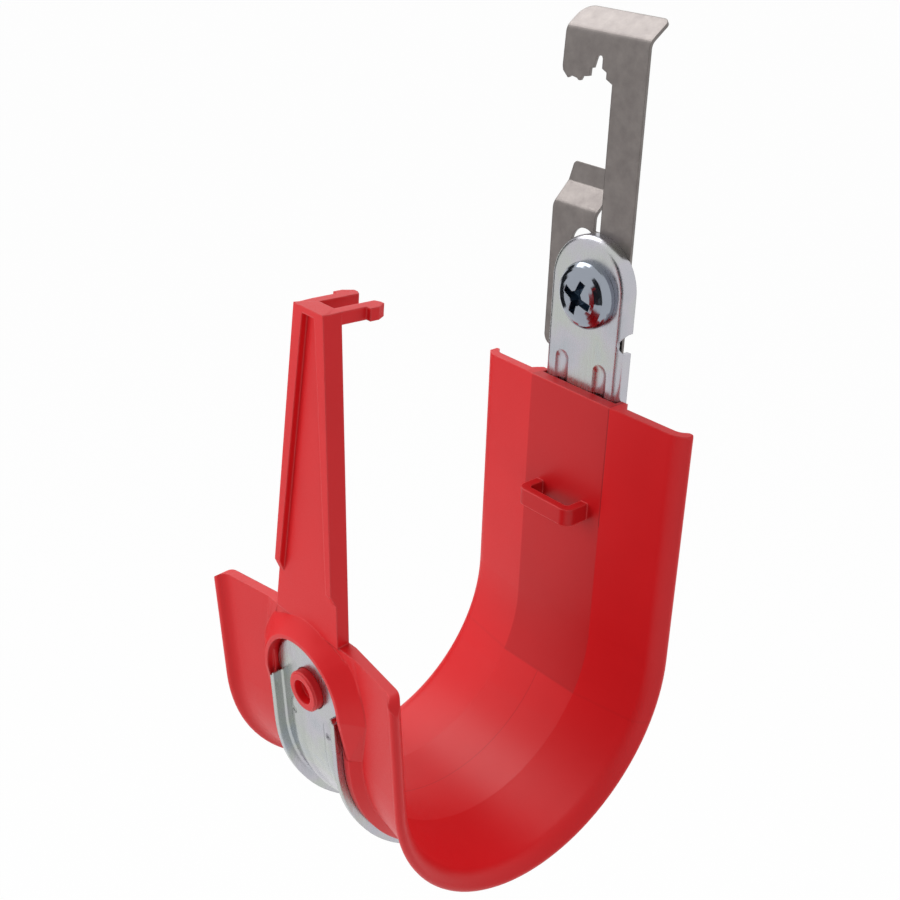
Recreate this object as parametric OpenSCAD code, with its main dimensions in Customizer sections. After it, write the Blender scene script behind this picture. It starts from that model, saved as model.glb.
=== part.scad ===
// J hook cable support: a steel J frame carrying a moulded cable saddle with a latch arm,
// hung from a spring clip. X runs across the trough, Y from the front lip to the back wall,
// Z up. The origin is the top of the clip's notch, where the hook hangs. Millimetres.

/* [Steel frame] */
// Width of the steel strip over its folded rims
strip_w = 18.6; // [16:0.1:22]
// Sheet thickness of the strip
strip_t = 1.0; // [0.8:0.1:1.4]
// Depth of the folded rim, measured from the strip's cable side
rim_d = 3.0; // [2.6:0.1:4]
// Outside radius of the fold between strip and rim
fold_r = 1.5; // [1.45:0.05:1.8]
// Inside radius of the J bend
j_r = 30.1; // [26:0.1:36]
// Drop from the screw to the centre of the J bend
j_drop = 66.9; // [60:0.1:76]
// Outward lean of the front leg
lip_lean = 4.468; // [0:0.001:6]
// Height of the pin above the centre of the J bend
pin_rise = 10.6; // [8:0.1:14]
// Height of the tab's round top's centre above the screw
tab_rise = 1.2; // [0:0.1:3]
// Offset of the screw from the strip's centre line
screw_x = 0.8; // [-1:0.1:1]
// Drop from the screw to the half-round notch in each rim
rim_notch_drop = 7.5; // [6.5:0.1:9]
// Radius of that notch
rim_notch_r = 1.9; // [1:0.1:2.2]
// Distance of each stiffening bead from the centre line
bead_x = 4.8; // [4:0.1:5.5]
// Width of a stiffening bead
bead_w = 3.4; // [2:0.1:4]
// Depth of a stiffening bead
bead_h = 0.45; // [0.2:0.05:0.6]
// Drop from the screw to the top of the beads
bead_drop = 12.4; // [11:0.1:15]

/* [Saddle] */
// Width of the trough over its rolled edges
saddle_w = 51.8; // [46:0.2:60]
// Wall thickness of the wings
wall_t = 1.8; // [1.4:0.1:2.4]
// Wall thickness of the band that covers the steel
band_t = 2.3; // [1.8:0.1:3]
// Angle at which the wings fall away from the band
wing_angle = 8; // [2:0.5:12]
// Radius of the rolled wing edges, at mid thickness
roll_r = 3.6; // [2.5:0.1:5]
// Angle through which the wing edges are rolled
roll_angle = 50; // [20:1:60]
// Drop from the screw to the top of the back wall
wall_drop = 18.4; // [17:0.1:24]
// Height of the front lip's top edge above the centre of the J bend
lip_rise = 23.0; // [19:0.1:30]
// Height of the rails that locate the steel strip
rail_h = 1.6; // [0.8:0.1:2.4]

/* [Latch] */
// Height of the latch arm above the front lip
arm_h = 56.1; // [45:0.1:60]
// Width of the arm at its top
arm_top_w = 7.6; // [7:0.1:12]
// Width of the arm at the lip
arm_base_w = 17.4; // [13:0.1:20]
// Thickness of the arm's web
arm_t = 1.5; // [1.2:0.1:2.4]
// Depth of the arm over its side rails
arm_d = 3.5; // [3:0.1:6]
// Inward lean of the arm
arm_lean = 2.4; // [0:0.2:5]
// Length of the two prongs behind the arm
prong_l = 8.2; // [6:0.1:12]
// Width of a prong
prong_w = 1.9; // [1.4:0.1:2.6]
// Height of a prong
prong_h = 2.1; // [1.4:0.1:3]
// Sideways step of each barb
barb = 1.0; // [0.5:0.1:1.6]
// Drop from the top of the back wall to the catch loop
loop_drop = 21; // [12:0.5:26]
// Reach of the catch loop from the back wall
loop_reach = 5.5; // [4.5:0.1:8]
// Height of the catch loop's bar
loop_h = 3.4; // [2.4:0.1:6]
// Thickness of the catch loop's bar
loop_t = 1.7; // [1.2:0.1:2.2]
// Radius of the pin that snaps through the steel frame
pin_r = 3.8; // [3:0.1:4.4]
// How far the pin stands out of the steel
pin_out = 1.6; // [1:0.1:3]

/* [Clip] */
// Sheet thickness of the clip
clip_t = 0.6; // [0.6:0.1:1]
// Width of the clip
clip_w = 19.7; // [18:0.1:22]
// Offset of the clip's free side edge from the strip's centre line
clip_edge = 7.0; // [6.5:0.1:9]
// Width of the clip's tall strip
neck_w = 7.6; // [7:0.1:10]
// Height of the notch's apex above the screw
notch_rise = 41.0; // [36:0.5:46]
// Height of the lower ear's bend above the screw
ear_rise = 12.4; // [11:0.1:15]
// Height of the top bend above the screw
top_rise = 43.6; // [42:0.1:50]
// Length of the clip below the screw
clip_tail = 14.2; // [9:0.1:16]
// Radius of the open hole above the screw
spare_hole_r = 3.1; // [2:0.1:3.2]

/* [Screw] */
// Diameter of the screw's thread
screw_d = 6.35; // [5:0.05:6.5]
// Diameter of the screw's head
head_d = 12.5; // [10:0.1:13]
// Height of the screw's head
head_h = 3.7; // [2.5:0.1:4.5]
// Length of the screw under its head
screw_l = 7.2; // [6.5:0.1:12]

/* [Clearances] */
// Gap between the moulding and the steel
fit_gap = 0.1; // [0.05:0.01:0.2]
// Radial gap around the screw in the frame's hole
hole_gap = 0.25; // [0.1:0.05:0.5]
// Radial gap between the screw and its tapped collar
thread_gap = 0.03; // [0.01:0.01:0.1]
// Radial gap around the moulded pin
pin_gap = 0.12; // [0.05:0.01:0.2]

/* [Hidden] */
$fn = 64;
eps = 0.01;
collar_w = 1.6;
collar_h = rim_d - 0.2;
collar_leg = 9;
collar_slope = 9;
arm_set = 2.3;
root_l = 5;
rail_z = 7.4;
rail_end = 46;
rail_w0 = 1.2;
rail_w1 = 2.2;
top_wall = 1.1;
barb_l = 3.4;
bend_r = 2.2;
bend_steps = 6;
slot_w = 1.5;
ear_lean = 45;
ear_lean2 = 70;
ear_l = 4.4;
ear_l2 = 3.6;
tab_lean = 36;
tab_l = 4.6;
tab_in = 0.4;
half_w = strip_w / 2;
pin_z = pin_rise;
rim_end = pin_rise - 0.6;
groove_x = half_w + fit_gap;
recess_r = half_w + 0.8;
bead_r = (bead_w * bead_w / 4 + bead_h * bead_h) / (2 * bead_h);
plate_y = rim_d;
neck_x = clip_edge - neck_w;
clip_x0 = clip_edge - clip_w;
notch_x = neck_x - 3.15;
steel = [0.78, 0.79, 0.8];
spring = [0.55, 0.54, 0.52];
red = [0.8, 0.13, 0.15];

// Puts the origin at the notch's apex, halfway through the clip's sheet.
module hang() {
    translate([-notch_x, -plate_y - clip_t / 2, -notch_rise]) children();
}

// Places something drawn about the centre of the J bend.
module at_bend() {
    translate([0, -j_r, -j_drop]) children();
}

// Turns the front leg's own frame, in which the leg is upright, to its lean.
module front_leg() {
    at_bend() rotate([lip_lean, 0, 0]) children();
}

// Runs a section up the back leg. Sections lie in X and depth, with depth 0 on the strip's
// cable side.
module up_back(top) {
    translate([0, 0, -j_drop]) linear_extrude(j_drop + top) children();
}

// Runs a section round the bend.
module round_bend() {
    at_bend() rotate([-90, 0, 0]) rotate([0, -90, 0])
        rotate_extrude(angle = 180 - lip_lean, $fn = 180)
            translate([j_r, 0]) rotate(90) mirror([0, 1]) children();
}

// Runs a section up the front leg.
module up_front(rise) {
    front_leg() mirror([0, 1, 0]) translate([0, j_r, 0]) linear_extrude(rise) children();
}

// Runs a section along the whole J: up the back to top, round the bend, up the front to rise.
module along_j(top, rise) {
    up_back(top) children();
    round_bend() children();
    up_front(rise) children();
}

// Both halves of something symmetrical about the centre plane.
module both_sides() {
    children();
    mirror([1, 0, 0]) children();
}

// A rectangle of width w and depth d whose two front corners are rounded.
module round_rect(w, d, r) {
    translate([r - w / 2, 0]) square([w - 2 * r, d]);
    translate([-w / 2, r]) square([w, d - r]);
    for (s = [-1, 1]) translate([s * (w / 2 - r), r]) circle(r);
}

// The strip's section with its two folded rims.
module channel() {
    difference() {
        round_rect(strip_w, rim_d, fold_r);
        translate([0, strip_t]) round_rect(strip_w - 2 * strip_t, rim_d, fold_r - strip_t);
    }
}

// Half of that section, for the rim that turns round the tab's top.
module half_channel() {
    intersection() {
        channel();
        square([half_w, rim_d]);
    }
}

// The sliver of a bead that lies beyond a face at depth 0.
module bead_section() {
    intersection() {
        translate([bead_x, bead_h - bead_r]) circle(bead_r, $fn = 90);
        translate([0, 0]) square([2 * bead_x, bead_r]);
    }
}

// A bead's rounded end, at the origin.
module bead_end() {
    intersection() {
        translate([0, bead_h - bead_r, 0]) sphere(bead_r, $fn = 90);
        translate([-bead_w, 0, -bead_w]) cube([2 * bead_w, bead_r, 2 * bead_w]);
    }
}

// Both beads along the J, raised from depth d.
module beads(d) {
    both_sides() {
        along_j(-bead_drop - bead_w / 2, pin_z - pin_r - 2.6) translate([0, d]) bead_section();
        translate([bead_x, d, -bead_drop - bead_w / 2]) bead_end();
        front_leg() translate([bead_x, -j_r - d, pin_z - pin_r - 2.6]) mirror([0, 1, 0]) bead_end();
    }
}

module steel_frame() {
    color(steel) hang() difference() {
        union() {
            along_j(tab_rise, rim_end) channel();
            translate([0, 0, tab_rise]) rotate([90, 0, 0]) mirror([0, 0, 1])
                rotate_extrude(angle = 180, $fn = 90) half_channel();
            front_leg() {
                translate([0, -j_r, pin_z]) rotate([90, 0, 0]) cylinder(r = half_w, h = strip_t, $fn = 90);
                translate([-half_w, -j_r - strip_t, rim_end - eps])
                    cube([strip_w, strip_t, pin_z - rim_end + eps]);
            }
            beads(strip_t);
        }
        beads(0);
        translate([screw_x, -1, 0]) rotate([-90, 0, 0]) cylinder(r = screw_d / 2 + hole_gap, h = rim_d);
        both_sides() {
            translate([half_w - fold_r + 0.3, rim_notch_r + 0.2, -rim_notch_drop]) {
                rotate([0, 90, 0]) cylinder(r = rim_notch_r, h = 4);
                translate([0, 0, -rim_notch_r]) cube([4, rim_d, 2 * rim_notch_r]);
            }
            front_leg() translate([half_w + 0.1, -j_r + 1, rim_end]) rotate([90, 0, 0])
                cylinder(r = 0.8, h = rim_d + 2);
            front_leg() translate([bead_x + 0.2, -j_r - strip_t - bead_h + 0.25, pin_z - pin_r - 3.6])
                rotate([90, 0, 0]) cylinder(r = 0.7, h = 1, $fn = 24);
        }
        front_leg() translate([0, 1 - j_r, pin_z]) rotate([90, 0, 0])
            cylinder(r = pin_r + pin_gap, h = strip_t + 2);
    }
}

// Points along a wing's mid line, from the band's edge to the rolled tip.
roll_steps = 8;
wing_y0 = -band_t - fit_gap + wall_t / 2;
tip_x = saddle_w / 2 - wall_t / 2;
roll_x = tip_x - roll_r * (sin(wing_angle + roll_angle) - sin(wing_angle));
roll_y = wing_y0 + (roll_x - groove_x) * tan(wing_angle);
function roll_point(a, s) = [
    roll_x + roll_r * (sin(a) - sin(wing_angle)) + s * sin(a),
    roll_y + roll_r * (cos(wing_angle) - cos(a)) - s * cos(a)
];
function roll_angles() = [for (i = [0:roll_steps]) wing_angle + roll_angle * i / roll_steps];
tip = roll_point(wing_angle + roll_angle, 0);
tip_a = wing_angle + roll_angle;

// One side of the saddle's section, with the locating rail beside the steel.
half_section = concat(
    [[groove_x + 0.6, -band_t - fit_gap]],
    [for (a = roll_angles()) roll_point(a, wall_t / 2)],
    [for (b = [22.5:22.5:157.5]) tip + wall_t / 2 * [sin(tip_a + b), -cos(tip_a + b)]],
    [for (i = [roll_steps:-1:0]) roll_point(wing_angle + roll_angle * i / roll_steps, -wall_t / 2)],
    [[groove_x + 2.9, wing_y0 + wall_t / 2 + 2.9 * tan(wing_angle)],
        [groove_x + 1.5, rail_h], [groove_x, rail_h], [groove_x, -fit_gap]]
);

module saddle_section() {
    polygon(concat(half_section, [for (i = [len(half_section) - 1:-1:0])
        [-half_section[i][0], half_section[i][1]]]));
}

// Trims a wing's top corner: a quarter round of radius r inside the corner at [x, z].
module corner_cut(x, z, r, y0) {
    translate([x - r, y0, z - r]) difference() {
        translate([0, -10, 0]) cube([r + 5, 20, r + 5]);
        translate([0, 11, 0]) rotate([90, 0, 0]) cylinder(r = r, h = 22);
    }
}

module trough() {
    difference() {
        up_back(-wall_drop) saddle_section();
        both_sides() corner_cut(saddle_w / 2, -wall_drop - 0.6, 1.6, 1);
        both_sides() translate([groove_x + 2.2, -10, -wall_drop]) rotate([0, 4.4, 0]) cube([30, 20, 4]);
    }
    round_bend() saddle_section();
    difference() {
        up_front(lip_rise) saddle_section();
        front_leg() both_sides() corner_cut(saddle_w / 2, lip_rise, 2.8, -j_r - 2);
    }
}

// The section of the raised collar and its legs, measured out from the steel's centre line.
module collar_section() {
    polygon([[recess_r, -band_t / 2], [recess_r, collar_h], [recess_r + collar_w, collar_h],
        [recess_r + 2 * collar_w, 0], [recess_r + 2 * collar_w, -band_t / 2]]);
}

// The lip's raised collar round the steel's round end, with two legs that slope down into the rails.
module collar() {
    front_leg() difference() {
        union() {
            translate([0, -j_r, pin_z]) rotate([90, 0, 0]) rotate_extrude(angle = 180) collar_section();
            mirror([0, 1, 0]) translate([0, j_r, pin_z - collar_leg]) linear_extrude(collar_leg) {
                collar_section();
                mirror([1, 0]) collar_section();
            }
        }
        translate([0, -j_r - collar_h, pin_z]) rotate([-collar_slope, 0, 0])
            translate([-strip_w, -j_r, -j_r]) cube([2 * strip_w, j_r, j_r]);
    }
}

module pin() {
    front_leg() translate([0, -j_r + 0.5, pin_z]) rotate([90, 0, 0]) difference() {
        union() {
            cylinder(r = pin_r - 0.3, h = strip_t + pin_out + 0.5);
            cylinder(r = pin_r, h = strip_t + pin_out + 0.2);
        }
        translate([0, 0, strip_t + pin_out - 1.1]) cylinder(r = pin_r - 1.5, h = 4);
    }
}

// The arm's outline, from height z0 to z1 above the lip, narrowed by inset on each side.
function arm_half(z) = (arm_base_w + (arm_top_w - arm_base_w) * z / arm_h) / 2;
module arm_outline(z0, z1, inset) {
    polygon([[arm_half(z0) - inset, z0], [arm_half(z1) - inset, z1],
        [inset - arm_half(z1), z1], [inset - arm_half(z0), z0]]);
}

// A prong, drawn from its root at the origin, with its barb to the right.
module prong() {
    linear_extrude(prong_h) polygon([[-prong_w, -arm_t], [0, -arm_t], [0, prong_l - barb_l],
        [barb, prong_l - barb_l], [barb, prong_l - barb_l / 2], [0, prong_l], [barb - prong_w, prong_l],
        [-prong_w, prong_l - barb / 2]]);
}

// The latch arm, standing on the lip: a web with two rails, a closed top and two prongs.
module latch_arm() {
    front_leg() translate([0, arm_set - j_r, lip_rise]) rotate([-arm_lean - lip_lean, 0, 0]) {
        rotate([90, 0, 0]) linear_extrude(arm_t) arm_outline(-root_l, arm_h, 0);
        difference() {
            rotate([90, 0, 0]) linear_extrude(arm_d) arm_outline(rail_z, arm_h, 0);
            rotate([90, 0, 0]) translate([0, 0, arm_t]) linear_extrude(arm_d)
                polygon([[arm_half(0) - rail_w0, 0], [arm_half(arm_h) - rail_w1, arm_h - top_wall],
                    [rail_w1 - arm_half(arm_h), arm_h - top_wall], [rail_w0 - arm_half(0), 0]]);
            translate([-arm_base_w, -arm_t, rail_z]) rotate([-rail_end, 0, 0])
                translate([0, -2 * arm_d, -2 * arm_d]) cube([2 * arm_base_w, 3 * arm_d, 2 * arm_d]);
        }
        both_sides() translate([arm_top_w / 2, 0, arm_h - prong_h]) prong();
    }
}

// The catch loop on the back wall that takes the prongs.
module catch_loop() {
    inner_w = arm_top_w + 2 * barb + 0.6;
    translate([0, -band_t - fit_gap - loop_reach, -wall_drop - loop_drop - loop_h]) linear_extrude(loop_h)
        difference() {
            round_rect(inner_w + 2 * loop_t, loop_reach + 0.5, 2);
            translate([0, loop_t]) round_rect(inner_w, loop_reach - loop_t, 0.8);
        }
}

module saddle() {
    color(red) hang() {
        trough();
        collar();
        pin();
        latch_arm();
        catch_loop();
    }
}

// Outline of the clip's flat part: tail, plate, neck and upper ear with the stepped notch.
module clip_outline() {
    x0 = clip_x0;
    x1 = clip_edge;
    n = notch_x;
    z = notch_rise;
    difference() {
        union() {
            translate([x0 + 2, -clip_tail]) square([clip_w - 4, 4]);
            translate([x0, -clip_tail + 2]) square([clip_w, ear_rise + clip_tail - 2]);
            for (x = [x0 + 2, x1 - 2]) translate([x, -clip_tail + 2]) circle(2);
            translate([neck_x, 0]) square([neck_w, top_rise]);
            polygon([[x1, top_rise], [x1, z - 4.4], [neck_x, z - 4.4], [neck_x - 1.5, z - 3.7], [neck_x - 1.5, z - 2.6],
                [neck_x - 2.6, z - 2.1], [neck_x - 2.6, z - 0.4], [n + 0.3, z], [n - 0.5, z], [n - 0.9, z - 0.4],
                [n - 1.5, z - 2.3], [n - 2.2, z - 2.4], [n - 2.3, z - 3.8], [n - 3.2, z - 4.0], [n - 3.8, z - 3.9],
                [n - 4.4, z - 4.9], [n - 4.8, z - 4.9], [n - 5.2, z - 4.6], [n - 6.6, z - 4.4], [n - 7.4, z - 4.9],
                [x0 + 0.3, z - 3.8], [x0 + 0.1, z - 3], [x0 + 0.4, top_rise]]);
        }
        translate([neck_x - slot_w, ear_rise - 2]) square([slot_w + eps, 20]);
        translate([neck_x - 1.2, ear_rise + 1.6]) circle(1.0);
    }
}

// Outline of a bent sheet: the points of a path and, walking back, the same offset by t.
function unit(v) = v / norm(v);
function seg(p, i) = unit(p[min(i + 1, len(p) - 1)] - p[min(i, len(p) - 2)]);
function miter(p, i, t) =
    let (a = seg(p, max(i - 1, 0)), b = seg(p, i), m = unit([-a[1] - b[1], a[0] + b[0]]))
    p[i] + m * t / (m * [-b[1], b[0]]);
function sheet(p, t) = concat(p, [for (i = [len(p) - 1:-1:0]) miter(p, i, t)]);

// Stands a section drawn in depth and height across the clip, from x0 to x1.
module across(x0, x1) {
    translate([x1, 0, 0]) rotate([90, 0, -90]) mirror([1, 0, 0]) linear_extrude(x1 - x0) children();
}

// Drawn in depth and height: a bend that starts upright at height z and leans back to angle a,
// a flat of length l, and a second flat of length m at angle b.
function lean_bend(z, a) = [for (i = [0:bend_steps]) let (t = 90 - (90 - a) * i / bend_steps)
    [bend_r * (1 - sin(t)), z + bend_r * cos(t)]];
function lean_path(z, a, l, b, m) =
    let (p = lean_bend(z, a), q = p[bend_steps] + l * [cos(a), sin(a)])
    concat(p, [q], m > 0 ? [q + m * [cos(b), sin(b)]] : []);

// Rounds a leaning flat's far corner: placed at the corner, u along the edge (1 or -1), radius r.
module flat_corner(x, p, a, r, u) {
    translate([x, p[0], p[1]]) rotate([a, 0, 0]) translate([-u * r, -r, 0]) difference() {
        translate([u > 0 ? 0 : -2 * r, 0, -clip_t * 2]) cube([2 * r, 2 * r, 5 * clip_t]);
        translate([0, 0, -clip_t * 3]) cylinder(r = r, h = 7 * clip_t);
    }
}

ear_path = lean_path(ear_rise - eps, ear_lean, ear_l, ear_lean2, ear_l2);
tab_path = lean_path(top_rise - eps, tab_lean, tab_l, 0, 0);

module clip() {
    color(spring) hang() translate([0, plate_y, 0]) {
        difference() {
            union() {
                translate([0, clip_t, 0]) rotate([90, 0, 0]) linear_extrude(clip_t) clip_outline();
                translate([screw_x, 0, 0]) rotate([-90, 0, 0]) cylinder(r = screw_d / 2 + 1.4, h = clip_t + 2.1);
            }
            translate([screw_x, -1, 0]) rotate([-90, 0, 0]) cylinder(r = screw_d / 2 + thread_gap, h = 8);
            translate([clip_x0 + 8.4, -1, 7.4]) rotate([-90, 0, 0]) cylinder(r = spare_hole_r, h = 3);
        }
        difference() {
            across(clip_x0, neck_x - slot_w) polygon(sheet(ear_path, -clip_t));
            flat_corner(clip_x0, ear_path[bend_steps + 2], ear_lean2, 0.8, -1);
        }
        difference() {
            across(clip_x0 + tab_in, clip_edge) polygon(sheet(tab_path, -clip_t));
            flat_corner(clip_edge, tab_path[bend_steps + 1], tab_lean, 1.3, 1);
            flat_corner(clip_x0 + tab_in, tab_path[bend_steps + 1], tab_lean, 2.6, -1);
        }
    }
}

module screw() {
    color(steel) hang() translate([screw_x, 0, 0]) rotate([-90, 0, 0]) {
        cylinder(r = screw_d / 2, h = screw_l);
        difference() {
            rotate_extrude($fn = 90) polygon(concat([[0, 0], [head_d / 2, 0]],
                [for (i = [0:9]) [head_d / 2 * cos(i * 10) * (i == 9 ? 0 : 1), -0.9 - (head_h - 0.9) * sin(i * 10)]]));
            for (a = [0, 90]) rotate(a + 20) translate([-3.3, -0.7, -head_h - 1]) cube([6.6, 1.4, 3.2]);
            translate([0, 0, -head_h - 1]) cylinder(r = 1.4, h = 3.4);
        }
    }
}

steel_frame();
saddle();
clip();
screw();
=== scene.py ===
"""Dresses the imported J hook: a red moulded saddle on a zinc plated J strip, hung from a spring clip."""
import math

import bpy
from mathutils import Matrix, Vector


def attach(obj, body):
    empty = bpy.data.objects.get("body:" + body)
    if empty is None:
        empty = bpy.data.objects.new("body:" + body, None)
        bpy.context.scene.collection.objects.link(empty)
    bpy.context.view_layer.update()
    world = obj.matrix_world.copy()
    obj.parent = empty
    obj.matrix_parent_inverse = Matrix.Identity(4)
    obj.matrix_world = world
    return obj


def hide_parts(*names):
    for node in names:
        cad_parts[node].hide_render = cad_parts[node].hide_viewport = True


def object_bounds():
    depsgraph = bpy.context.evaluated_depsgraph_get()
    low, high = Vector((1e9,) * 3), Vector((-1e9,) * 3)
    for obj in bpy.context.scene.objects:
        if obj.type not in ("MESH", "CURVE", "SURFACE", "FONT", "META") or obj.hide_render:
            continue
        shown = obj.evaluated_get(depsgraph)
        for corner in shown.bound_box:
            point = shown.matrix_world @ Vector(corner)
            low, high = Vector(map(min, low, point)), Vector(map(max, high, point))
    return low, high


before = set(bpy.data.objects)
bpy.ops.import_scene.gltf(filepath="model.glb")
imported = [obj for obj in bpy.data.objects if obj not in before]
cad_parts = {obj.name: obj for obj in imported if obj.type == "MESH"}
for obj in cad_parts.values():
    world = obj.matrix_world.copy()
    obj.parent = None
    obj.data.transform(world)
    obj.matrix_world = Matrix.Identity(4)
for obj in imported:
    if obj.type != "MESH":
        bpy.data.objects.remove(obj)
cad_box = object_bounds()
MM = 0.001

# Camera, seen from the front right and above, as the reference view has it.
CAM_AZ, CAM_EL, CAM_ROLL = 48.21, 26.06, 2.04
CAM_LENS, CAM_DIST = 55.06, 0.2431
AIM_SHIFT = Vector((-2.80, -0.95, 2.01)) * MM


def camera_axes(azimuth, elevation, roll):
    """Right, up and back unit vectors of a camera at these angles."""
    a, e, r = (math.radians(v) for v in (azimuth, elevation, roll))
    right = Vector((math.cos(a), math.sin(a), 0))
    back = Vector((math.sin(a) * math.cos(e), -math.cos(a) * math.cos(e), math.sin(e)))
    up = back.cross(right)
    return math.cos(r) * right + math.sin(r) * up, math.cos(r) * up - math.sin(r) * right, back


def make_camera():
    cam = bpy.data.objects.new("camera", bpy.data.cameras.new("camera"))
    bpy.context.scene.collection.objects.link(cam)
    cam.data.lens = CAM_LENS
    cam.data.sensor_width = 36
    cam.data.clip_start, cam.data.clip_end = 0.01, 20
    right, up, back = camera_axes(CAM_AZ, CAM_EL, CAM_ROLL)
    aim = (cad_box[0] + cad_box[1]) / 2 + AIM_SHIFT
    m = Matrix((right, up, back)).transposed().to_4x4()
    m.translation = aim + back * CAM_DIST
    cam.matrix_world = m
    bpy.context.scene.camera = cam
    return cam


camera = make_camera()


# ---------------------------------------------------------------- materials
def srgb(r, g, b):
    """A colour given in 0-255 screen values, as the linear one that the shader wants."""
    return tuple(((v / 255 + 0.055) / 1.055) ** 2.4 if v > 10 else v / 255 / 12.92 for v in (r, g, b)) + (1,)


class Nodes:
    """A material's node tree, with short calls for making and joining nodes."""

    def __init__(self, name):
        self.mat = bpy.data.materials.new(name)
        self.mat.use_nodes = True
        self.tree = self.mat.node_tree
        self.bsdf = self.tree.nodes["Principled BSDF"]

    def add(self, kind, **values):
        node = self.tree.nodes.new(kind)
        for key, value in values.items():
            if hasattr(node, key) and key not in node.inputs:
                setattr(node, key, value)
            else:
                node.inputs[key].default_value = value
        return node

    def join(self, a, b):
        self.tree.links.new(a, b)

    def coords(self, scale=(1, 1, 1)):
        """Object coordinates, in millimetres, stretched by scale."""
        tex = self.add("ShaderNodeTexCoord")
        mapping = self.add("ShaderNodeMapping")
        mapping.inputs["Scale"].default_value = [s / MM for s in scale]
        self.join(tex.outputs["Object"], mapping.inputs["Vector"])
        return mapping.outputs["Vector"]

    def noise(self, scale, detail=3.0, roughness=0.5, stretch=(1, 1, 1)):
        """Noise with this many waves a millimetre."""
        n = self.add("ShaderNodeTexNoise")
        n.inputs["Scale"].default_value = scale
        n.inputs["Detail"].default_value = detail
        n.inputs["Roughness"].default_value = roughness
        self.join(self.coords(stretch), n.inputs["Vector"])
        return n.outputs["Fac"]

    def ramp(self, value, stops):
        r = self.add("ShaderNodeValToRGB")
        el = r.color_ramp.elements
        while len(el) < len(stops):
            el.new(0.5)
        for e, (pos, colour) in zip(el, stops):
            e.position = pos
            e.color = colour if len(colour) == 4 else tuple(colour) + (1,)
        self.join(value, r.inputs["Fac"])
        return r.outputs["Color"]

    def remap(self, value, lo, hi, to_lo, to_hi):
        m = self.add("ShaderNodeMapRange")
        for key, v in (("From Min", lo), ("From Max", hi), ("To Min", to_lo), ("To Max", to_hi)):
            m.inputs[key].default_value = v
        self.join(value, m.inputs["Value"])
        return m.outputs["Result"]

    def mix(self, fac, a, b, mode="MIX"):
        m = self.add("ShaderNodeMix", data_type="RGBA", blend_type=mode)
        for sock, v in ((m.inputs["Factor"], fac), (m.inputs["A"], a), (m.inputs["B"], b)):
            pass
        ins = {s.identifier: s for s in m.inputs}
        for key, v in (("Factor_Float", fac), ("A_Color", a), ("B_Color", b)):
            if hasattr(v, "is_linked"):
                self.join(v, ins[key])
            else:
                ins[key].default_value = v
        return {s.identifier: s for s in m.outputs}["Result_Color"]

    def bump(self, height, strength, distance, radius):
        """Bump over softly rounded edges."""
        edge = self.add("ShaderNodeBevel", samples=6)
        edge.inputs["Radius"].default_value = radius
        b = self.add("ShaderNodeBump")
        b.inputs["Strength"].default_value = strength
        b.inputs["Distance"].default_value = distance
        self.join(height, b.inputs["Height"])
        self.join(edge.outputs["Normal"], b.inputs["Normal"])
        self.join(b.outputs["Normal"], self.bsdf.inputs["Normal"])

    def edges(self, radius):
        """0 on flats, rising to 1 on rounded edges, from the pointiness of the surface."""
        bevel = self.add("ShaderNodeBevel", samples=6)
        bevel.inputs["Radius"].default_value = radius
        geo = self.add("ShaderNodeNewGeometry")
        dot = self.add("ShaderNodeVectorMath", operation="DOT_PRODUCT")
        self.join(bevel.outputs["Normal"], dot.inputs[0])
        self.join(geo.outputs["Normal"], dot.inputs[1])
        return self.remap(dot.outputs["Value"], 0.995, 0.8, 0, 1)

    def axes(self):
        """Object coordinates as three values in metres."""
        tex = self.add("ShaderNodeTexCoord")
        sep = self.add("ShaderNodeSeparateXYZ")
        self.join(tex.outputs["Object"], sep.inputs[0])
        return sep.outputs

    def calc(self, operation, *values):
        node = self.add("ShaderNodeMath", operation=operation)
        for sock, v in zip(node.inputs, values):
            if hasattr(v, "is_linked"):
                self.join(v, sock)
            else:
                sock.default_value = v
        return node.outputs[0]

    def within(self, value, lo, hi, soft):
        """1 where value lies between lo and hi, with soft borders."""
        return self.calc("MULTIPLY", self.remap(value, lo - soft, lo + soft, 0, 1),
                         self.remap(value, hi - soft, hi + soft, 1, 0))

    def product(self, *values):
        result = values[0]
        for v in values[1:]:
            result = self.calc("MULTIPLY", result, v)
        return result

    def set(self, **values):
        for key, v in values.items():
            sock = self.bsdf.inputs[key.replace("_", " ")]
            if hasattr(v, "is_linked"):
                self.join(v, sock)
            else:
                sock.default_value = v


# Places on the saddle: the band's two edges, and the parting line down to the catch loop.
BAND_LEFT, BAND_RIGHT = -6.25 * MM, 13.75 * MM
LINE_TOP, LINE_END = -59.0 * MM, -84.0 * MM
CABLE_SIDE = -12.0 * MM
CREASE_Z, CENTRE_X = -120.5 * MM, 3.75 * MM


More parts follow.
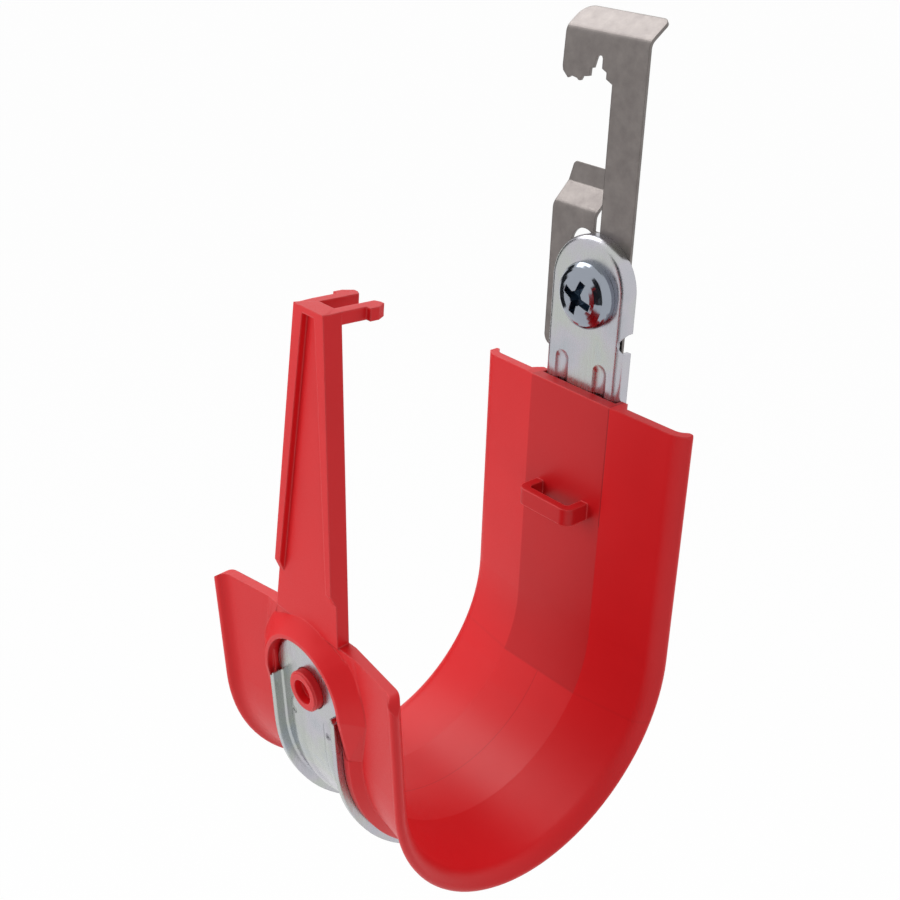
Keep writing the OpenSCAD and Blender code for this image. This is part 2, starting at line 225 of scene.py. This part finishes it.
def red_plastic():
    n = Nodes("red_moulding")
    x, y, z = n.axes()
    blotch = n.noise(0.06, 4)
    grain = n.noise(5.5, 2)
    colour = n.ramp(blotch, [(0.3, srgb(203, 21, 27)), (0.7, srgb(208, 24, 30))])
    back = n.remap(y, CABLE_SIDE - 6 * MM, CABLE_SIDE, 0, 1)
    wall = n.remap(z, CREASE_Z - 0.3 * MM, CREASE_Z + 0.3 * MM, 0, 1)
    band = n.product(n.within(x, BAND_LEFT, BAND_RIGHT, 0.15 * MM), back, wall)
    inside = n.remap(y, -60 * MM, -50 * MM, 0, 1)
    across = n.product(n.within(z, CREASE_Z - 0.1 * MM, CREASE_Z + 0.1 * MM, 0.25 * MM), back,
                       n.remap(n.within(x, BAND_LEFT, BAND_RIGHT, 0.15 * MM), 0, 1, 0.4, 1.0))
    along = n.product(n.within(x, CENTRE_X - 0.06 * MM, CENTRE_X + 0.06 * MM, 0.08 * MM), inside,
                      n.remap(z, CREASE_Z - 0.3 * MM, CREASE_Z + 0.3 * MM, 1, 0))
    line = n.product(n.within(x, BAND_RIGHT - 0.09 * MM, BAND_RIGHT + 0.09 * MM, 0.07 * MM), back,
                     n.within(z, LINE_END, LINE_TOP, 0.3 * MM))
    colour = n.mix(n.calc("MULTIPLY", band, 0.4), colour, srgb(150, 10, 16))
    colour = n.mix(n.calc("MULTIPLY", line, 0.7), colour, srgb(110, 8, 12))
    # painted shade: the crease across the band is darkened in the colour as shade in its groove, weaker on the
    # wings; the thin centre line in the trough is darkened with it, and the bump below dents both
    crease_shade_and_centre_line = n.calc("MAXIMUM", across, along)
    colour = n.mix(n.calc("MULTIPLY", crease_shade_and_centre_line, 0.45), colour, srgb(130, 8, 14))
    # painted highlight: the rounded edges are lightened to a paler red in the colour, as light catching them
    edge_highlight = n.mix(n.edges(0.5 * MM), colour, srgb(222, 66, 68))
    n.set(Base_Color=edge_highlight, Roughness=n.remap(grain, 0.3, 0.7, 0.36, 0.5), Specular_IOR_Level=0.35)
    height = n.calc("SUBTRACT", grain, n.calc("MULTIPLY", n.calc("MAXIMUM", line, crease_shade_and_centre_line), 4.0))
    n.bump(height, 0.12, 0.03 * MM, 0.35 * MM)
    return n.mat


def zinc_steel():
    n = Nodes("zinc_plate")
    tint = n.noise(0.09, 3)
    colour = n.ramp(tint, [(0.3, srgb(176, 180, 186)), (0.45, srgb(186, 184, 191)),
                           (0.6, srgb(184, 188, 183)), (0.75, srgb(176, 182, 192))])
    streak = n.noise(2.4, 4, 0.6, (1, 1, 0.08))
    n.set(Base_Color=colour, Metallic=1.0, Roughness=n.remap(streak, 0.3, 0.7, 0.2, 0.34))
    n.bump(streak, 0.1, 0.02 * MM, 0.3 * MM)
    return n.mat


def spring_steel():
    n = Nodes("spring_plate")
    mottle = n.noise(0.35, 6, 0.65)
    colour = n.ramp(mottle, [(0.3, srgb(113, 107, 105)), (0.7, srgb(129, 123, 120))])
    fine = n.noise(3.0, 3)
    n.set(Base_Color=colour, Metallic=0.9, Roughness=n.remap(fine, 0.3, 0.7, 0.28, 0.38))
    n.bump(fine, 0.15, 0.02 * MM, 0.25 * MM)
    return n.mat


SCREW_AXIS = Vector((4.55, -3.3, -41.0)) * MM
HEAD_R, HEAD_RIM, HEAD_H, RECESS_R = 6.25 * MM, 0.9 * MM, 3.7 * MM, 3.5 * MM


def bright_screw():
    n = Nodes("bright_plate")
    x, y, z = n.axes()
    fine = n.noise(1.2, 3)
    dx, dz = n.calc("SUBTRACT", x, SCREW_AXIS.x), n.calc("SUBTRACT", z, SCREW_AXIS.z)
    r = n.calc("SQRT", n.calc("ADD", n.product(dx, dx), n.product(dz, dz)))
    ratio = n.calc("DIVIDE", r, HEAD_R)
    dome = n.calc("SQRT", n.calc("MAXIMUM", n.calc("SUBTRACT", 1.0, n.product(ratio, ratio)), 0.0))
    crown = n.calc("SUBTRACT", SCREW_AXIS.y - HEAD_RIM, n.calc("MULTIPLY", dome, HEAD_H - HEAD_RIM))
    below = n.remap(n.calc("SUBTRACT", y, crown), 0.1 * MM, 0.5 * MM, 0, 1)
    inside = n.remap(y, SCREW_AXIS.y - HEAD_RIM, SCREW_AXIS.y - HEAD_RIM + 0.1 * MM, 1, 0)
    # painted shade: inside the cross recess the metal is given a darker, bluer colour, as shade in the hollow; it
    # is also made rougher
    shaded_recess = n.product(below, inside, n.remap(r, RECESS_R, RECESS_R * 1.03, 1, 0))
    colour = n.mix(shaded_recess, srgb(148, 154, 164), srgb(84, 104, 122))
    rough = n.calc("ADD", n.remap(fine, 0.3, 0.7, 0.08, 0.16), n.calc("MULTIPLY", shaded_recess, 0.3))
    n.set(Base_Color=colour, Metallic=1.0, Roughness=rough)
    n.bump(fine, 0.05, 0.02 * MM, 0.2 * MM)
    return n.mat


MATERIALS = {"steel_frame": zinc_steel, "saddle": red_plastic, "clip": spring_steel, "screw": bright_screw}


def dress(node, material):
    """Gives a CAD node its material."""
    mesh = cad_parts[node].data
    mesh.materials.clear()
    mesh.materials.append(material)


# ---------------------------------------------------------------- saddle's lip
# The front leg's own frame, as in the part's source: the centre of the bend, its radius and lean.
BEND_CENTRE = Vector((3.75, -33.4, -107.9)) * MM
BEND_R, LEAN = 30.1 * MM, math.radians(4.468)
LIP_Z = 23.0 * MM
# The latch arm's own frame: its root's back edge and its lean. Its web stands forward, flush with the lip.
ARM_ROOT, ARM_LEAN = Vector((3.75, -62.908, -87.136)) * MM, math.radians(2.4)
WEB_T, WEB_OUT, ARM_SHIFT, ROOT_X = 1.5 * MM, 0.9 * MM, 0.6 * MM, 9.0 * MM
# The two rails beside the steel: from above the collar to the lip they are level with the band.
RAIL_IN, RAIL_OUT, RAIL_H, BAND_DEPTH = 9.35 * MM, 12.5 * MM, 1.65 * MM, -0.1 * MM
# Each wing's flat face starts here, as distance from the centre plane and depth, and rises outwards.
WING_X, WING_DEPTH, WING_SLOPE = 12.3 * MM, -0.19 * MM, 0.14
# The collar round the steel's end: its crest narrows and its foot widens about the middle of its slope.
PIN_Z, RING_MID, RING_GROW = 10.6 * MM, 12.3 * MM, 1.4
RING_IN, RING_OUT, RING_FOOT, FOOT_R = 11.0 * MM, 13.6 * MM, -0.15 * MM, 14.7 * MM
# The collar's two legs fade into the rails at their lower ends.
LEG_LO, LEG_HI, LEG_CREST, LEG_OUT, LEG_FOOT = 1.1 * MM, 2.6 * MM, 1.5 * MM, 10.9 * MM, 12.4 * MM
# The pin's dish, made shallower.
DISH_R, DISH_DEPTH, DISH_FILL = 2.45 * MM, 1.5 * MM, 0.75 * MM


class Field:
    """A value in a geometry node tree, with arithmetic."""

    def __init__(self, tree, socket):
        self.tree, self.socket = tree, socket

    def math(self, operation, *others):
        node = self.tree.nodes.new("ShaderNodeMath")
        node.operation = operation
        for sock, v in zip(node.inputs, (self,) + others):
            if isinstance(v, Field):
                self.tree.links.new(v.socket, sock)
            else:
                sock.default_value = v
        return Field(self.tree, node.outputs[0])

    def __add__(self, v): return self.math("ADD", v)
    def __sub__(self, v): return self.math("SUBTRACT", v)
    def __mul__(self, v): return self.math("MULTIPLY", v)
    def __gt__(self, v): return self.math("GREATER_THAN", v)
    def __lt__(self, v): return self.math("LESS_THAN", v)
    def __truediv__(self, v): return self.math("DIVIDE", v)

    def span(self, lo, hi):
        """0 at lo, 1 at hi, clamped."""
        node = self.tree.nodes.new("ShaderNodeMapRange")
        node.inputs["From Min"].default_value = lo
        node.inputs["From Max"].default_value = hi
        self.tree.links.new(self.socket, node.inputs["Value"])
        return Field(self.tree, node.outputs["Result"])


def turned(tree, vector, centre, angle):
    """A vector turned about an X axis through centre, and its three coordinates."""
    turn = tree.nodes.new("ShaderNodeVectorRotate")
    turn.rotation_type = "X_AXIS"
    turn.inputs["Center"].default_value = centre
    turn.inputs["Angle"].default_value = angle
    tree.links.new(vector, turn.inputs["Vector"])
    parts = tree.nodes.new("ShaderNodeSeparateXYZ")
    tree.links.new(turn.outputs[0], parts.inputs[0])
    return turn.outputs[0], [Field(tree, parts.outputs[i]) for i in range(3)]


def lip_shape():
    """Node group that softens the lip: no rails above the collar, a wide collar with fading legs, a flush arm."""
    tree = bpy.data.node_groups.new("lip_shape", "GeometryNodeTree")
    tree.interface.new_socket("Geometry", in_out="INPUT", socket_type="NodeSocketGeometry")
    tree.interface.new_socket("Geometry", in_out="OUTPUT", socket_type="NodeSocketGeometry")
    new, join = tree.nodes.new, tree.links.new
    group_in, group_out = new("NodeGroupInput"), new("NodeGroupOutput")
    place = new("GeometryNodeInputPosition").outputs[0]
    (x, y, z) = turned(tree, place, BEND_CENTRE, -LEAN)[1]
    arm_y = turned(tree, place, ARM_ROOT, ARM_LEAN)[1][1]
    side = x - BEND_CENTRE.x
    across = side.math("ABSOLUTE")
    depth = (y - BEND_CENTRE.y) * -1.0 - BEND_R
    rise = z - BEND_CENTRE.z
    front = y < BEND_CENTRE.y
    up = (rise - PIN_Z).math("MAXIMUM", 0.0)
    radius = (across * across + up * up).math("SQRT").math("MAXIMUM", MM)
    # the latch arm's web and root
    arm_depth = (arm_y - ARM_ROOT.y) * -1.0
    root = (across < ROOT_X) * front
    web = (arm_depth > WEB_T * 0.96) * (arm_depth < WEB_T * 1.04) * (rise > LIP_Z * 0.75) * root
    above = (rise > LIP_Z * 0.995) * root
    # the rails, at the lip and where they run into the collar
    rails = (across > RAIL_IN) * (across < RAIL_OUT) * (depth > 0.0) * (depth < RAIL_H) * front
    rail_top = rails * (rise > LIP_Z * 0.97)
    rail_foot = rails * (rise > PIN_Z * 1.5) * (rise < LIP_Z * 0.97) * (radius > RING_MID) * (depth > 0.3 * MM) \
        * (across < RING_MID - 0.4 * MM)
    # the collar: radius from the pin's axis above it, distance from the centre plane below it
    ring = (radius > RING_IN) * (radius < RING_OUT) * (depth > RING_FOOT) * (rise > LEG_HI) * front \
        * (rise < LIP_Z * 1.05) * ((rail_foot + rail_top) * -1.0 + 1.0)
    fade = rise.span(LIP_Z, LIP_Z - 4 * MM)
    offset = radius - RING_MID
    grow = ring * (offset.math("MINIMUM", 0.0) + offset.math("MAXIMUM", 0.0) * fade) * RING_GROW / radius \
        + rail_foot * (radius * -1.0 + FOOT_R) / radius
    # the legs' lower ends
    end = (rise > LEG_LO) * (rise < LEG_HI) * front
    crest = end * (depth > RAIL_H) * (across < RING_OUT)
    foot = end * (across > LEG_FOOT) * (across < RING_OUT) * (depth < RAIL_H)
    draw = crest * (across * -1.0 + LEG_OUT).math("MINIMUM", 0.0) + foot * (across * -1.0 + LEG_FOOT)
    # the pin's dish
    from_pin = rise - PIN_Z
    dish = ((across * across + from_pin * from_pin).math("SQRT") < DISH_R) * front \
        * (depth > DISH_DEPTH - 0.1 * MM) * (depth < DISH_DEPTH + 0.1 * MM)
    widen = across * grow + draw
    x_new = x + side / across.math("MAXIMUM", MM) * widen - above * ARM_SHIFT
    # points on the wing's flat face stay on it as they move outwards
    plane = (across + widen - WING_X).math("MAXIMUM", 0.0) * WING_SLOPE + WING_DEPTH
    flat = (ring + foot) * (depth < 0.05 * MM) * (across > WING_X)
    y_new = y + rail_top * (depth - BAND_DEPTH) + rail_foot * (depth - plane) + crest * (depth - LEG_CREST) \
        - flat * widen * WING_SLOPE - web * WEB_OUT - dish * DISH_FILL
    whole = new("ShaderNodeCombineXYZ")
    for field, sock in zip((x_new, y_new, z + up * grow), whole.inputs):
        join(field.socket, sock)
    move = new("GeometryNodeSetPosition")
    join(group_in.outputs[0], move.inputs["Geometry"])
    join(turned(tree, whole.outputs[0], BEND_CENTRE, LEAN)[0], move.inputs["Position"])
    join(move.outputs[0], group_out.inputs[0])
    return tree


def moulding(material):
    """The saddle as moulded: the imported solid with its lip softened. It stands for the plain solid."""
    piece = bpy.data.objects.new("saddle_moulding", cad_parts["saddle"].data.copy())
    bpy.context.scene.collection.objects.link(piece)
    piece.data.materials.clear()
    piece.data.materials.append(material)
    piece.modifiers.new("lip_shape", "NODES").node_group = lip_shape()
    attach(piece, "root")
    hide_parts("saddle")


for node_name, make in MATERIALS.items():
    dress(node_name, make())
moulding(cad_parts["saddle"].data.materials[0])


# ---------------------------------------------------------------- studio
def background_rays(tree):
    """1 for rays that show the background: from the camera, in reflections and through glass."""
    path = tree.nodes.new("ShaderNodeLightPath")
    seen = path.outputs["Is Camera Ray"]
    for kind in ("Is Glossy Ray", "Is Transmission Ray"):
        either = tree.nodes.new("ShaderNodeMath")
        either.operation = "MAXIMUM"
        tree.links.new(seen, either.inputs[0])
        tree.links.new(path.outputs[kind], either.inputs[1])
        seen = either.outputs[0]
    return seen


def backdrop(shown, light):
    """A white world: its strength where it is seen, and as a light."""
    world = bpy.data.worlds.new("studio")
    world.use_nodes = True
    tree = world.node_tree
    tree.nodes["Background"].inputs["Color"].default_value = (1, 1, 1, 1)
    level = tree.nodes.new("ShaderNodeMapRange")
    level.inputs["To Min"].default_value = light
    level.inputs["To Max"].default_value = shown
    tree.links.new(background_rays(tree), level.inputs["Value"])
    tree.links.new(level.outputs["Result"], tree.nodes["Background"].inputs["Strength"])
    bpy.context.scene.world = world


backdrop(1.0, 0.4)
bpy.context.scene.view_settings.view_transform = "Standard"


def floor():
    """A pale floor well below the hanging hook: white to the camera, apart from the hook's shadow."""
    size, drop = 6.0, 0.25
    bpy.ops.mesh.primitive_plane_add(size=size, location=(0, 0, cad_box[0].z - drop))
    f = bpy.context.object
    f.name = "floor"
    mat = bpy.data.materials.new("floor_white")
    mat.use_nodes = True
    tree = mat.node_tree
    bsdf = tree.nodes["Principled BSDF"]
    bsdf.inputs["Base Color"].default_value = (0.9, 0.9, 0.9, 1)
    bsdf.inputs["Roughness"].default_value = 0.9
    glow = tree.nodes.new("ShaderNodeEmission")
    glow.inputs["Color"].default_value = (1, 1, 1, 1)
    mix = tree.nodes.new("ShaderNodeMixShader")
    keep = tree.nodes.new("ShaderNodeMath")
    keep.operation = "MULTIPLY"
    keep.inputs[1].default_value = 0.975
    tree.links.new(background_rays(tree), keep.inputs[0])
    tree.links.new(keep.outputs[0], mix.inputs[0])
    tree.links.new(bsdf.outputs[0], mix.inputs[1])
    tree.links.new(glow.outputs[0], mix.inputs[2])
    tree.links.new(mix.outputs[0], tree.nodes["Material Output"].inputs[0])
    f.data.materials.append(mat)
    return f


def softbox(name, direction, distance, size, power, mirrored=False):
    """A square area light that looks at the hook from a direction, and may show in reflections."""
    aim = (cad_box[0] + cad_box[1]) / 2
    data = bpy.data.lights.new(name, "AREA")
    data.shape = "SQUARE"
    data.size = size
    data.energy = power
    ob = bpy.data.objects.new(name, data)
    d = Vector(direction).normalized()
    ob.location = aim + d * distance
    ob.visible_glossy = mirrored
    ob.rotation_euler = d.to_track_quat("Z", "Y").to_euler()
    bpy.context.scene.collection.objects.link(ob)
    return ob


def flag(name, direction, distance, width, height):
    """A dark card that only reflections see: it gives bright metal its dark side."""
    aim = (cad_box[0] + cad_box[1]) / 2
    d = Vector(direction).normalized()
    bpy.ops.mesh.primitive_plane_add(size=1, location=aim + d * distance)
    card = bpy.context.object
    card.name = name
    card.rotation_euler = d.to_track_quat("Z", "Y").to_euler()
    card.scale = (width, height, 1)
    card.visible_camera = card.visible_diffuse = card.visible_shadow = False
    mat = bpy.data.materials.new(name)
    mat.use_nodes = True
    mat.node_tree.nodes["Principled BSDF"].inputs["Base Color"].default_value = (0.02, 0.022, 0.026, 1)
    mat.node_tree.nodes["Principled BSDF"].inputs["Roughness"].default_value = 1.0
    card.data.materials.append(mat)
    return card


floor()
flag("left_flag", (-0.95, -0.02, -0.12), 0.6, 0.3, 0.7)
flag("front_flag", (0.2, -0.93, 0.15), 0.45, 0.26, 0.5)
softbox("key", (-0.65, 0.05, 0.76), 0.5, 0.34, 1.1, mirrored=True)
softbox("key_fill", (-0.6, -0.15, 0.78), 0.5, 0.42, 0.5)
softbox("front", (-0.45, -0.85, 0.25), 0.3, 0.2, 0.4)
softbox("low", (-0.6, -0.75, -0.38), 0.5, 0.6, 0.5)
softbox("right", (0.9, -0.5, -0.1), 0.7, 0.4, 0.9)
softbox("rear", (0.4, 0.9, 0.4), 0.6, 0.4, 1.0)
